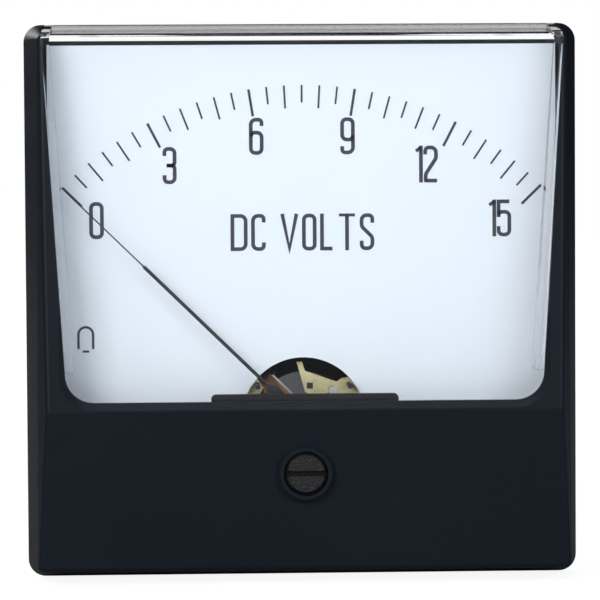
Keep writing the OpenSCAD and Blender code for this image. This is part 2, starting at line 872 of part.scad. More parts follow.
module rear_posts() {
    y0 = core_y + core_len;
    color([0.75, 0.7, 0.45])
        for (side = [-1, 1])
            difference() {
                union() {
                    rod(side * post_x, pivot_z, y0, rear_bridge_y, post_r);
                    rod(side * post_x, pivot_z, y0 - spigot_len, y0, post_screw_r);
                }
                rod(side * post_x, pivot_z, rear_bridge_y - tap_depth, rear_bridge_y + 1, post_screw_r);
            }
}

module bridge_screws() {
    head_y = shield_y - shield_t;
    length = shield_t + bridge_t;
    color([0.75, 0.75, 0.77])
        for (side = [-1, 1]) {
            slotted_screw(side * post_x, pivot_z, head_y, 1.5, small_head_h, post_screw_r,
                          length + tap_depth - tap_room);
            mirror([0, 1, 0])
                slotted_screw(side * post_x, pivot_z, -rear_bridge_y - bridge_t, 1.5, small_head_h,
                              post_screw_r, bridge_t + tap_depth - tap_room);
        }
}

module core_magnet() {
    color([0.35, 0.35, 0.37])
        rod(0, pivot_z, core_y, core_y + core_len, core_r);
}

// The supports that hold the core in the yoke, clear of the coil's travel
module core_supports() {
    gap = 0.02;
    color([0.6, 0.6, 0.62])
        for (side = [0, 180])
            translate([0, core_y + core_len - 2, pivot_z])
                rotate([90, side, 0])
                    rotate([0, 0, -core_hold_angle / 2])
                        rotate_extrude(angle = core_hold_angle)
                            translate([core_r + gap, 0])
                                square([yoke_in_r - core_r - 2 * gap, core_len - 4]);
}

module yoke_ring() {
    color([0.5, 0.5, 0.52]) difference() {
        rod(0, pivot_z, seat_y, core_y + core_len, yoke_out_r);
        rod(0, pivot_z, seat_y - 1, core_y + core_len + 1, yoke_in_r);
        for (side = [-1, 1]) {
            rod(side * post_x, pivot_z, seat_y - 1, seat_y + spigot_len, post_screw_r);
            rod(side * post_x, pivot_z, core_y + core_len - spigot_len, core_y + core_len + 1, post_screw_r);
        }
    }
}

// The brass plate over the coil, which also carries the stops
module core_plate() {
    stop_x = stop_r * sin(stop_angle);
    stop_z = stop_r * cos(stop_angle);
    color([0.72, 0.7, 0.5]) difference() {
        translate([0, 0, pivot_z])
            plate(brass_y, frame_y)
                polygon([
                    // The lobe that shows in the dial's cut-out
                    [-0.6, 7.1], [-0.9, 8.1], [-0.1, 8.1], [0.3, 6.8], [4.9, 5.2], [5.6, 5.7],
                    // Past the right-hand stop to the right-hand post
                    [stop_x, stop_z + 1], [stop_x + 1, stop_z - 0.2], [post_x - 1.9, 2.3], [post_x, 2.3],
                    [post_x + 2, 1.2], [post_x + 2, -1.2], [post_x, -3],
                    // Under the spindle to the left-hand post
                    [post_x - 3.9, -7.4], [-post_x + 3.9, -7.4], [-post_x, -3], [-post_x - 2, -1.2], [-post_x - 2, 1.2],
                    // The arm under the left-hand stop
                    [-post_x, 2.3], [-post_x + 1.9, 2.6], [-stop_x - 0.9, stop_z], [-stop_x, stop_z + 0.9],
                    [-stop_x + 0.9, stop_z - 0.4], [-post_x + 3.3, 1],
                    // Back round the spindle
                    [-post_x + 5.3, -4.6], [post_x - 5.3, -4.6], [post_x - 4.5, 0], [4.6, 2.6], [1.4, 3.2], [0.3, 3.8]
                ]);
        for (side = [-1, 1]) {
            rod(side * post_x, pivot_z, brass_y - 1, frame_y + 1, post_screw_r);
            rod(side * stop_x, pivot_z + stop_z, brass_y - 1, frame_y + 1, stop_pin_r - 0.1);
        }
        // The small square window beside the coil
        translate([0.55, brass_y - 1, pivot_z + 4.2])
            cube([0.9, brass_t + 2, 0.9]);
    }
}

module pointer_stops() {
    front_y = pointer_y - 0.8;
    color([0.05, 0.05, 0.06])
        translate([0, 0, pivot_z])
            for (side = [-1, 1])
                rotate([0, side * stop_angle, 0])
                    union() {
                        rod(0, stop_r, front_y, brass_y, stop_pin_r);
                        rod(0, stop_r, brass_y, frame_y, stop_pin_r - 0.1);
                    }
}

module movement_frame() {
    color([0.55, 0.55, 0.57]) difference() {
        plate(frame_y, seat_y)
            polygon([[-frame_half, frame_low_z + 3], [-frame_half + 3, frame_low_z], [frame_half - 3, frame_low_z],
                     [frame_half, frame_low_z + 3], [frame_half, -13], [15, -5], [-15, -5], [-frame_half, -13]]);
        rod(0, pivot_z, frame_y - 1, seat_y + 1, yoke_in_r);
        for (side = [-1, 1]) {
            rod(side * post_x, pivot_z, frame_y - 1, seat_y + 1, post_screw_r);
            rod(side * dial_screw_x, dial_screw_z, frame_y - 1, seat_y + 1, dial_screw_r);
            rod(side * frame_screw_x, frame_screw_z, frame_y - 1, seat_y + 1, frame_screw_r);
        }
    }
}

module movement_screws() {
    color([0.75, 0.75, 0.77])
        for (side = [-1, 1])
            slotted_screw(side * frame_screw_x, frame_screw_z, frame_y, 1.8, small_head_h + 0.2,
                          frame_screw_r, frame_t + base_t - blind_floor - tap_room);
}

module rear_case() {
    base_half_w = half_w - case_wall - base_gap;
    base_top = half_h - case_wall - base_gap;
    base_low = -half_h + case_wall + base_gap;
    color([0.08, 0.08, 0.09]) difference() {
        union() {
            plate(seat_y, 0)
                translate([0, (base_top + base_low) / 2])
                    rounded_square(base_half_w, (base_top - base_low) / 2, front_corner_r / 2);
            rod(0, 0, -eps, rear_y - 0.8, barrel_r);
            taper(0, 0, rear_y - 0.8, rear_y, barrel_r, barrel_r - 0.8);
            // Raised rings round the terminals
            for (side = [-1, 1])
                rod(side * terminal_x, terminal_z, rear_y - 1, rear_y + terminal_ring_h, washer_r + 0.8);
            // Pillar of the resistor
            rod(0, resistor_z, inner_rear_y - pillar_h, inner_rear_y + 1, pillar_r);
            // Bosses under the heads of the mounting studs
            for (x = [-1, 1], z = [-1, 1])
                rod(x * stud_x, z * stud_z, seat_y - 0.3, seat_y + eps, stud_head_af * 0.6);
        }
        difference() {
            rod(0, 0, seat_y - 1, inner_rear_y, barrel_in_r);
            rod(0, resistor_z, inner_rear_y - pillar_h, inner_rear_y + 1, pillar_r);
        }
        for (side = [-1, 1]) {
            rod(side * terminal_x, terminal_z, inner_rear_y - 1, rear_y + 2, terminal_r);
            rod(side * frame_screw_x, frame_screw_z, seat_y - 1, -blind_floor, frame_screw_r);
            rod(side * case_screw_x, case_screw_z, seat_y - 1, 1, case_screw_r);
            taper(side * case_screw_x, case_screw_z, -case_head_h, eps, case_screw_r, case_screw_r + case_head_h);
        }
        rod(0, resistor_z, inner_rear_y - pillar_h - 1, inner_rear_y + 1.2, 1);
        for (x = [-1, 1], z = [-1, 1])
            rod(x * stud_x, z * stud_z, seat_y - 1, 1, stud_r + stud_knurl);
    }
}

module case_screws() {
    color([0.6, 0.6, 0.62])
        for (side = [-1, 1])
            difference() {
                union() {
                    rod(side * case_screw_x, case_screw_z, -case_screw_len, -case_head_h + eps, case_screw_r);
                    taper(side * case_screw_x, case_screw_z, -case_head_h, -0.05, case_screw_r,
                          case_screw_r + case_head_h - 0.1);
                }
                translate([side * case_screw_x - 3, -0.6, case_screw_z - 0.25])
                    cube([6, 1, 0.5]);
            }
}

module mounting_studs() {
    head_y = seat_y - 0.3;
    color([0.72, 0.72, 0.74])
        for (x = [-1, 1], z = [-1, 1]) {
            hexagon(x * stud_x, z * stud_z, head_y - stud_head_t, head_y, stud_head_af);
            rod(x * stud_x, z * stud_z, head_y - eps, 0, stud_r + stud_knurl);
            rod(x * stud_x, z * stud_z, -eps, stud_len - 0.5, stud_r);
            taper(x * stud_x, z * stud_z, stud_len - 0.5, stud_len, stud_r, stud_r - 0.4);
        }
}

module terminal_studs() {
    head_y = inner_rear_y - lug_t;
    end_y = rear_y + terminal_len;
    color([0.8, 0.72, 0.42])
        for (side = [-1, 1]) {
            hexagon(side * terminal_x, terminal_z, head_y - terminal_head_t, head_y, terminal_nut_af);
            rod(side * terminal_x, terminal_z, head_y - eps, end_y - 0.6, terminal_r);
            taper(side * terminal_x, terminal_z, end_y - 0.6, end_y, terminal_r, terminal_r - 0.5);
        }
}

// Two washers on each terminal, one against the barrel and one for the cable lug
module terminal_washers() {
    first_y = rear_y + terminal_ring_h;
    second_y = first_y + washer_t + terminal_nut_t;
    color([0.78, 0.78, 0.8])
        for (side = [-1, 1], y = [first_y, second_y])
            difference() {
                rod(side * terminal_x, terminal_z, y, y + washer_t, washer_r);
                rod(side * terminal_x, terminal_z, y - 1, y + washer_t + 1, terminal_r);
            }
}

// Two nuts on each terminal
module terminal_nuts() {
    first_y = rear_y + terminal_ring_h + washer_t;
    second_y = first_y + terminal_nut_t + washer_t;
    color([0.8, 0.72, 0.42])
        for (side = [-1, 1], y = [first_y, second_y])
            difference() {
                hexagon(side * terminal_x, terminal_z, y, y + terminal_nut_t, terminal_nut_af);
                rod(side * terminal_x, terminal_z, y - 1, y + terminal_nut_t + 1, terminal_r);
            }
}

// Solder lugs under the heads of the terminal studs
module terminal_lugs() {
    color([0.8, 0.8, 0.82])
        for (side = [-1, 1])
            difference() {
                plate(inner_rear_y - lug_t, inner_rear_y) {
                    translate([side * terminal_x, terminal_z])
                        circle(washer_r);
                    translate([side * terminal_x - lug_hole_edge, terminal_z])
                        square([2 * lug_hole_edge, lug_tail]);
                }
                rod(side * terminal_x, terminal_z, inner_rear_y - 2, inner_rear_y + 1, terminal_r);
                rod(side * terminal_x, terminal_z + lug_tail - lug_hole_edge, inner_rear_y - 2, inner_rear_y + 1, wire_r + 0.1);
            }
}

module resistor_bobbin() {
    y0 = resistor_y;
    y1 = resistor_y + resistor_len;
    color([0.75, 0.68, 0.5]) difference() {
        union() {
            rod(0, resistor_z, y0, y1, resistor_core_r);
            rod(0, resistor_z, y0, y0 + 1, resistor_r);
            rod(0, resistor_z, y1 - 1, y1, resistor_r);
        }
        rod(0, resistor_z, y0 - 1, y1 + 1, 1.1);
    }
}

module resistor_winding() {
    color([0.5, 0.25, 0.15]) difference() {
        rod(0, resistor_z, resistor_y + 1, resistor_y + resistor_len - 1, resistor_r - 0.8);
        rod(0, resistor_z, resistor_y, resistor_y + resistor_len, resistor_core_r);
    }
}

module resistor_screw() {
    color([0.75, 0.75, 0.77])
        slotted_screw(0, resistor_z, resistor_y, 2, small_head_h + 0.4, 1, resistor_len + pillar_h + 1);
}

// The wires from the terminals to the resistor and the movement
module lead_wires() {
    lug_z = terminal_z + lug_tail - lug_hole_edge;
    lug_y = inner_rear_y - lug_t;
    post_y = core_y + core_len;
    color([0.6, 0.1, 0.08]) {
        bent_wire([
            [terminal_x, lug_y, lug_z],
            [terminal_x, lug_y - 4, lug_z],
            [resistor_r + 2, resistor_y + 6, resistor_z],
            [resistor_r - 0.8 + wire_r, resistor_y + 6, resistor_z]
        ], wire_r);
        bent_wire([
            [-resistor_r + 0.8 - wire_r, resistor_y + 6, resistor_z],
            [-resistor_r - 3, resistor_y + 4, resistor_z - 2],
            [-post_x - 3, rear_bridge_y + 6, pivot_z + 9],
            [-post_x - 0.6, rear_bridge_y + 3, pivot_z + 4],
            [-post_x, rear_bridge_y + bridge_t + wire_r, pivot_z + 1.55 + wire_r]
        ], wire_r);
        bent_wire([
            [-terminal_x, lug_y, lug_z],
            [-terminal_x, lug_y - 4, lug_z],
            [-terminal_x - 6, lug_y - 9, lug_z - 6],
            [-yoke_out_r - 8, post_y, pivot_z + 12],
            [-yoke_out_r - 3, seat_y + 6, pivot_z + 6],
            [-yoke_out_r + 0.5, seat_y + wire_r, pivot_z + 5]
        ], wire_r);
    }
}

front_case();
window();
zero_screw();
zero_clip();
bridge_shield();
dial_plate();
scale_marks();
dial_screws();
dial_posts();
pointer();
pointer_root();
balance_weights();
front_pivot();
rear_pivot();
coil_former();
coil_winding();
front_hairspring();
rear_hairspring();
zero_lever();
front_bridge();
rear_bridge();
front_jewel();
rear_jewel();
jewel_nuts();
bridge_posts();
rear_posts();
bridge_screws();
core_magnet();
core_supports();
yoke_ring();
core_plate();
pointer_stops();
movement_frame();
movement_screws();
rear_case();
case_screws();
mounting_studs();
terminal_studs();
terminal_washers();
terminal_nuts();
terminal_lugs();
resistor_bobbin();
resistor_winding();
resistor_screw();
lead_wires();
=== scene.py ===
"""Analog panel meter: finishes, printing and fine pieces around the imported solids."""
import json
import math

import bmesh
import bpy
from mathutils import Matrix, Vector


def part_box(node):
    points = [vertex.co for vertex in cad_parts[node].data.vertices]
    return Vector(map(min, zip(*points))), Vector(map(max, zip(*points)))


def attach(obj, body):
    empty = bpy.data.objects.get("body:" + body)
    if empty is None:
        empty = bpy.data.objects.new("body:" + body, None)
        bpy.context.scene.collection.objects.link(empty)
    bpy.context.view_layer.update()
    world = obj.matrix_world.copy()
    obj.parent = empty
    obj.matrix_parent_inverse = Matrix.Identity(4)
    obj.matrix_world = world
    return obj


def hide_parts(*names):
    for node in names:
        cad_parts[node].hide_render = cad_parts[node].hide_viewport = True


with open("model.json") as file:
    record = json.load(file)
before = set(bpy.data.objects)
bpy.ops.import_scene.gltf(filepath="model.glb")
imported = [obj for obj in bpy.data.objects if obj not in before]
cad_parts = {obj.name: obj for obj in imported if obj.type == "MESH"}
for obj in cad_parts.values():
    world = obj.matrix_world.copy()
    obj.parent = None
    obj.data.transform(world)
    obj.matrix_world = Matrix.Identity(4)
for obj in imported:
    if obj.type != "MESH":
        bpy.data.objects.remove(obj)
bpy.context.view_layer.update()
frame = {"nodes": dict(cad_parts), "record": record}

MM = 0.001
nodes = frame["nodes"]
joint_places = {j["name"]: j["pos_m"] for j in frame["record"]["behaviour"]["joints"]}
pivot_z = joint_places["pointer_turn"][2]
dial_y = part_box("dial_plate")[0][1]
print_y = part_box("scale_marks")[0][1]


# ---------------------------------------------------------------- camera

PICTURE_PX = 600
SENSOR = 36.0
CAMERA_D = 0.42
CAMERA_Z = 0.018
AIM_X = -0.0002
AIM_Z = -0.0001
CAMERA_AZIMUTH = -2.0
CAMERA_ROLL = -0.35
PX_PER_MM = 6.86


def make_camera():
    """A long lens, a little above the middle of the meter and a little to the left, aimed at its middle."""
    data = bpy.data.cameras.new("camera")
    data.sensor_width = SENSOR
    data.lens = PX_PER_MM / MM * CAMERA_D / PICTURE_PX * SENSOR
    data.clip_start = 0.01
    data.clip_end = 10.0
    cam = bpy.data.objects.new("camera", data)
    bpy.context.scene.collection.objects.link(cam)
    a = math.radians(CAMERA_AZIMUTH)
    cam.location = (CAMERA_D * math.sin(a), -CAMERA_D * math.cos(a), CAMERA_Z)
    way = Vector((AIM_X, 0, AIM_Z)) - cam.location
    turn = way.to_track_quat("-Z", "Y").to_matrix() @ Matrix.Rotation(math.radians(CAMERA_ROLL), 3, "Z")
    cam.rotation_euler = turn.to_euler()
    bpy.context.scene.camera = cam


make_camera()


# ---------------------------------------------------------------- shader maths

class Sock:
    """A socket or a number in a material, with the operators that the finishes use."""

    def __init__(self, tree, value):
        self.tree = tree
        self.value = value

    def math(self, kind, other=None):
        return self.tree.node("ShaderNodeMath", {"operation": kind},
                              [self] if other is None else [self, other])

    def __add__(self, other):
        return self.math("ADD", other)

    def __radd__(self, other):
        return self.math("ADD", other)

    def __sub__(self, other):
        return self.math("SUBTRACT", other)

    def __mul__(self, other):
        return self.math("MULTIPLY", other)

    def clamp(self, low=0.0, high=1.0):
        return self.tree.node("ShaderNodeClamp", {}, [self, low, high])


class Finish:
    """A material and its node tree."""

    def __init__(self, name):
        self.material = bpy.data.materials.new(name)
        self.material.use_nodes = True
        self.nt = self.material.node_tree
        self.nt.nodes.clear()
        self.output = self.nt.nodes.new("ShaderNodeOutputMaterial")
        self.object_place = self.node("ShaderNodeTexCoord", {}, [], "Object")

    def feed(self, socket, value):
        if isinstance(value, Sock):
            value = value.value
        if isinstance(value, bpy.types.NodeSocket):
            self.nt.links.new(value, socket)
        else:
            socket.default_value = value

    def node(self, kind, settings, values, output=0):
        """One node: its type, its settings, its sockets' values by place or name, and the output wanted."""
        n = self.nt.nodes.new(kind)
        for key, value in settings.items():
            if key == "stops":
                ramp = n.color_ramp
                for i, (place, colour) in enumerate(value):
                    stop = ramp.elements[i] if i < 2 else ramp.elements.new(place)
                    stop.position = place
                    stop.color = colour
            else:
                setattr(n, key, value)
        pairs = values.items() if isinstance(values, dict) else enumerate(values)
        for key, value in pairs:
            self.feed(n.inputs[key], value)
        return Sock(self, n.outputs[output])

    def place(self, scale=(1, 1, 1), turn=(0, 0, 0)):
        return self.node("ShaderNodeMapping", {},
                         {"Vector": self.object_place, "Rotation": turn, "Scale": scale}, "Vector")

    def noise(self, scale, detail=3.0, rough=0.5, vector=None):
        return self.node("ShaderNodeTexNoise", {},
                         {"Vector": vector or self.object_place, "Scale": scale, "Detail": detail,
                          "Roughness": rough})

    def speckle(self, scale):
        return self.node("ShaderNodeTexVoronoi", {}, {"Vector": self.object_place, "Scale": scale},
                         "Distance")

    def wave(self, scale, direction, distortion):
        return self.node("ShaderNodeTexWave", {"bands_direction": direction},
                         {"Vector": self.object_place, "Scale": scale, "Distortion": distortion}, 1)

    def band(self, value, low, high, to_low=0.0, to_high=1.0):
        """value, taken from low..high to to_low..to_high and kept inside it."""
        return self.node("ShaderNodeMapRange", {"clamp": True}, [value, low, high, to_low, to_high])

    def blend(self, factor, a, b):
        n = self.nt.nodes.new("ShaderNodeMix")
        n.data_type = "RGBA"
        self.feed(n.inputs[0], factor)
        self.feed(n.inputs[6], a)
        self.feed(n.inputs[7], b)
        return Sock(self, n.outputs[2])

    def bump(self, height, strength, distance):
        return self.node("ShaderNodeBump", {}, {"Height": height, "Strength": strength, "Distance": distance})

    def axis(self, letter):
        return self.node("ShaderNodeSeparateXYZ", {}, [self.object_place], letter)

    def surface(self, **values):
        """A Principled shader; a keyword's underscores stand for the spaces of its socket's name."""
        n = self.nt.nodes.new("ShaderNodeBsdfPrincipled")
        for key, value in values.items():
            self.feed(n.inputs[key.replace("_", " ")], value)
        return Sock(self, n.outputs[0])

    def done(self, shader):
        self.nt.links.new(shader.value, self.output.inputs["Surface"])
        return self.material


def grey(v, tint=0.0):
    return (v * (1 - tint), v, v * (1 + tint), 1.0)


# ---------------------------------------------------------------- finishes

def moulded_black(name, colour, rough, grain, smudges):
    """Satin black moulding with a fine grain, faint wipe marks and a little dust."""
    f = Finish(name)
    fine = f.noise(grain, 4.0, 0.6)
    broad = f.noise(60.0, 3.0, 0.5)
    dust = f.band(f.speckle(900.0), 0.0, 0.06, 1.0, 0.0)
    wipe = f.band(f.noise(45.0, 2.0, 0.4, f.place((1.0, 1.0, 2.6), (0, 0.5, 0))), 0.56, 0.75)
    tone = f.blend(broad, [c * 0.92 for c in colour[:3]] + [1], [c * 1.1 for c in colour[:3]] + [1])
    tone = f.blend(dust * 0.25, tone, (0.25, 0.26, 0.28, 1))
    return f.done(f.surface(
        Base_Color=tone,
        Roughness=(rough + fine * 0.10 + wipe * smudges - 0.05).clamp(0.05, 0.95),
        Normal=f.bump(fine, 0.25, 0.00006),
        Specular_IOR_Level=0.22,
    ))


def clear_cover():
    """Clear moulded cover. Lamps pass through it, so that the dial is lit as behind thin plastic."""
    f = Finish("clear_cover")
    ripple = f.noise(25.0, 2.0, 0.4)
    scuff = f.band(f.noise(260.0, 3.0, 0.5, f.place((1.0, 1.0, 0.12), (0, 0.7, 0))), 0.70, 0.78)
    body = f.surface(
        Base_Color=(0.97, 0.985, 1.0, 1),
        Roughness=scuff * 0.10,
        IOR=1.49,
        Transmission_Weight=1.0,
        Normal=f.bump(ripple, 0.02, 0.0004),
    )
    lamps = f.node("ShaderNodeBsdfTransparent", {}, [(0.94, 0.95, 0.96, 1)])
    path = f.nt.nodes.new("ShaderNodeLightPath")
    return f.done(f.node("ShaderNodeMixShader", {}, [Sock(f, path.outputs["Is Shadow Ray"]), body, lamps]))


def dial_enamel():
    """Cool white enamel, very slightly uneven, with a few specks."""
    f = Finish("dial_enamel")
    broad = f.noise(30.0, 2.0, 0.5)
    fine = f.noise(2500.0, 3.0, 0.6)
    speck = f.band(f.speckle(160.0), 0.0, 0.022, 1.0, 0.0)
    tone = f.blend(broad, (0.76, 0.83, 0.90, 1), (0.80, 0.86, 0.92, 1))
    tone = f.blend(speck * 0.6, tone, (0.12, 0.12, 0.14, 1))
    return f.done(f.surface(
        Base_Color=tone,
        Roughness=0.42 + fine * 0.12,
        Normal=f.bump(fine, 0.1, 0.00002),
    ))


def printing_ink():
    f = Finish("printing_ink")
    fine = f.noise(3000.0, 2.0, 0.5)
    tone = f.blend(fine, (0.018, 0.021, 0.032, 1), (0.04, 0.044, 0.06, 1))
    return f.done(f.surface(Base_Color=tone, Roughness=0.4 + fine * 0.2))


def metal(name, dark, light, rough, streak=(1.0, 1.0, 1.0), scale=400.0, tarnish=0.0, bare=1.0):
    """Worked metal: fine streaks along one way, uneven tone and some tarnish."""
    f = Finish(name)
    lines = f.noise(scale, 4.0, 0.6, f.place(streak))
    broad = f.noise(180.0, 3.0, 0.5)
    tone = f.blend(lines, dark, light)
    stain = f.band(broad, 0.45, 0.75) * tarnish
    tone = f.blend(stain, tone, [c * 0.45 for c in dark[:3]] + [1])
    return f.done(f.surface(
        Base_Color=tone,
        Metallic=bare,
        Roughness=(rough + lines * 0.15 + stain * 0.3).clamp(0.05, 0.95),
        Normal=f.bump(lines, 0.2, 0.00003),
    ))


def painted(name, colour, rough):
    """Thin paint or lacquer with a faint orange-peel."""
    f = Finish(name)
    peel = f.noise(1500.0, 2.0, 0.5)
    tone = f.blend(peel, [c * 0.85 for c in colour[:3]] + [1], [c * 1.15 for c in colour[:3]] + [1])
    return f.done(f.surface(
        Base_Color=tone,
        Roughness=rough + peel * 0.1,
        Normal=f.bump(peel, 0.15, 0.00002),
    ))


def wound_wire(name, dark, light, pitch, direction):
    """Layers of fine enamelled wire seen as close ribs; the colour is darker between turns, a painted shade
    in the grooves, with random unevenness.
    """
    f = Finish(name)
    ribs_and_groove_shade = f.wave(1.0 / pitch / 2.0, direction, 0.3)
    uneven = f.noise(900.0, 3.0, 0.6)
    # painted shade: the ribs darken the colour in the grooves between turns; the noise adds random unevenness
    tone = f.blend((ribs_and_groove_shade * 0.6 + uneven * 0.5).clamp(), dark, light)
    return f.done(f.surface(
        Base_Color=tone,
        Metallic=0.35,
        Roughness=0.32 + uneven * 0.2,
        Normal=f.bump(ribs_and_groove_shade, 0.6, 0.00008),
        Coat_Weight=0.4,
    ))


def grained_screw(face_y):
    """Black moulding with a coarse grain on its face, its lighter flecks partly painted glints; behind the
    face the colour goes near-black, a painted shade in the slot.
    """
    f = Finish("grained_screw")
    grit = f.noise(3000.0, 4.0, 0.8)
    pits = f.speckle(2600.0)
    # painted shade: from 0.15 to 0.4 mm behind the face the colour goes near-black, darkening the slot
    slot_shade = f.band(f.axis("Y"), face_y + 0.15 * MM, face_y + 0.4 * MM)
    # lighter flecks in the colour: grain, partly painted glints, placed where the roughness is lowest
    tone = f.blend(f.band(grit, 0.52, 0.72), (0.005, 0.0055, 0.006, 1), (0.06, 0.064, 0.07, 1))
    tone = f.blend(slot_shade, tone, (0.001, 0.001, 0.0012, 1))
    return f.done(f.surface(
        Base_Color=tone,
        Roughness=f.band(grit, 0.4, 0.7, 0.5, 0.22) + slot_shade * 0.4,
        Normal=f.bump(grit + pits * 0.6, 1.0, 0.00012),
        Specular_IOR_Level=0.5,
    ))


# ---------------------------------------------------------------- making pieces

def add_piece(name, mesh, material, body="root", replaces=()):
    """A finished mesh becomes a piece of the object, riding on a body."""
    obj = bpy.data.objects.new(name, mesh)
    bpy.context.scene.collection.objects.link(obj)
    mesh.materials.clear()
    mesh.materials.append(material)
    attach(obj, body)
    if replaces:
        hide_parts(*replaces)
    return obj


def mesh_from(name, verts, faces):
    mesh = bpy.data.meshes.new(name)
    mesh.from_pydata([tuple(v) for v in verts], [], faces)
    mesh.validate()
    mesh.update()
    return mesh


def smoothed_copy(node, angle):
    """The node's own mesh, joined up and shaded smooth where it bends by less than an angle in degrees."""
    mesh = nodes[node].data.copy()
    mesh.name = node + "_smooth"
    bm = bmesh.new()
    bm.from_mesh(mesh)
    bmesh.ops.remove_doubles(bm, verts=bm.verts, dist=1e-6)
    bmesh.ops.dissolve_degenerate(bm, edges=bm.edges, dist=1e-7)
    limit = math.radians(angle)
    for face in bm.faces:
        face.smooth = True
    for edge in bm.edges:
        edge.smooth = len(edge.link_faces) == 2 and edge.calc_face_angle(0.0) < limit
    bm.to_mesh(mesh)
    bm.free()
    mesh.update()
    return mesh


def dress(node, material, angle=28.0):
    """A smooth-shaded piece of the node's shape, in place of the node."""
    body = next(b for b, held in frame["record"]["behaviour"]["bodies"].items() if node in held)
    obj = add_piece(node + "_finish", smoothed_copy(node, angle), material, body, replaces=(node,))
    even = obj.modifiers.new("even_normals", "WEIGHTED_NORMAL")
    even.keep_sharp = True
    even.weight = 100
    return obj


COVER_LOW_Z = -13.8 * MM
COVER_LOW_Y = -14.1 * MM
COVER_WALL = 1.1 * MM
COVER_SLOPE = 0.05
COVER_LIP = 4.0 * MM
COVER_NEAR = 0.06 * MM


def even_cover(obj):
    """The inner face of the clear cover runs on in one plane down to its lower edge."""
    inner_y = COVER_LOW_Y + COVER_WALL
    for v in obj.data.vertices:
        if v.co.z < COVER_LOW_Z + COVER_LIP + COVER_NEAR and abs(v.co.y - inner_y) < COVER_NEAR:
            v.co.y = inner_y + COVER_SLOPE * (v.co.z - COVER_LOW_Z)
    obj.data.update()


def paint(material, *names):
    """New finish on CAD nodes whose shape is used as it is."""
    for name in names:
        for held in nodes[name].material_slots:
            held.material = material


# ---------------------------------------------------------------- Geometry Nodes

class Tree:
    """A Geometry Nodes tree that makes one repeated form."""

    def __init__(self, name, sizes):
        self.tree = bpy.data.node_groups.new(name, "GeometryNodeTree")
        self.sockets = {}
        for label, kind in sizes:
            self.sockets[label] = self.tree.interface.new_socket(
                name=label, in_out="INPUT", socket_type=kind).identifier
        self.tree.interface.new_socket(name="Geometry", in_out="OUTPUT", socket_type="NodeSocketGeometry")
        self.entry = self.tree.nodes.new("NodeGroupInput")
        self.exit = self.tree.nodes.new("NodeGroupOutput")

    def size(self, label):
        return next(s for s in self.entry.outputs if s.name == label)

    def add(self, kind, settings=None, values=None, output=0):
        n = self.tree.nodes.new(kind)
        for key, value in (settings or {}).items():
            setattr(n, key, value)
        for key, value in (values or {}).items():
            if isinstance(value, bpy.types.NodeSocket):
                self.tree.links.new(value, n.inputs[key])
            else:
                n.inputs[key].default_value = value
        return n.outputs[output]

    def maths(self, kind, a, b=0.0):
        return self.add("ShaderNodeMath", {"operation": kind}, {0: a, 1: b})

    def vector(self, x=0.0, y=0.0, z=0.0):
        return self.add("ShaderNodeCombineXYZ", None, {0: x, 1: y, 2: z})

    def finish(self, geometry, material):
        real = self.add("GeometryNodeRealizeInstances", None, {0: geometry})
        out = self.add("GeometryNodeSetMaterial", None, {"Geometry": real, "Material": material})
        self.tree.links.new(out, self.exit.inputs[0])

    def grow(self, name, sizes):
        """The tree's result as a plain mesh."""
        host = bpy.data.objects.new(name, bpy.data.meshes.new(name))
        bpy.context.scene.collection.objects.link(host)
        modifier = host.modifiers.new("grow", "NODES")
        modifier.node_group = self.tree
        for label, value in sizes.items():
            modifier[self.sockets[label]] = value
        graph = bpy.context.evaluated_depsgraph_get()
        mesh = bpy.data.meshes.new_from_object(host.evaluated_get(graph))
        mesh.name = name
        bpy.data.objects.remove(host)
        return mesh


def thread_tree(material):
    """A threaded stud along Z: a fine grid wrapped round it, with a helical crest and closed ends."""
    t = Tree("thread", [("Radius", "NodeSocketFloat"), ("Depth", "NodeSocketFloat"),
                        ("Pitch", "NodeSocketFloat"), ("Length", "NodeSocketFloat"),
                        ("Rows", "NodeSocketInt"), ("Sides", "NodeSocketInt"),
                        ("Lead In", "NodeSocketFloat")])
    grid = t.tree.nodes.new("GeometryNodeMeshCylinder")
    grid.fill_type = "NGON"
    for socket, label in (("Vertices", "Sides"), ("Side Segments", "Rows"), ("Radius", "Radius"),
                          ("Depth", "Length")):
        t.tree.links.new(t.size(label), grid.inputs[socket])
    place = t.add("GeometryNodeInputPosition")
    parts = t.tree.nodes.new("ShaderNodeSeparateXYZ")
    t.tree.links.new(place, parts.inputs[0])
    x, y, z = parts.outputs
    up = t.maths("ADD", z, t.maths("MULTIPLY", t.size("Length"), 0.5))
    turn = t.maths("DIVIDE", t.maths("ARCTAN2", y, x), 2 * math.pi)
    phase = t.maths("SUBTRACT", t.maths("DIVIDE", up, t.size("Pitch")), turn)
    groove = t.maths("MULTIPLY", t.maths("PINGPONG", phase, 0.5), 2.0)
    left = t.maths("SUBTRACT", t.size("Length"), up)
    lead = t.maths("MAXIMUM", t.maths("SUBTRACT", t.size("Lead In"), left), 0.0)
    slot_shade = t.maths("MAXIMUM", t.maths("MULTIPLY", groove, t.size("Depth")), lead)
    factor = t.maths("SUBTRACT", 1.0, t.maths("DIVIDE", slot_shade, t.size("Radius")))
    moved = t.vector(t.maths("MULTIPLY", x, factor), t.maths("MULTIPLY", y, factor), up)
    shaped = t.add("GeometryNodeSetPosition", None, {"Geometry": grid.outputs["Mesh"], "Position": moved})
    t.finish(shaped, material)
    return t


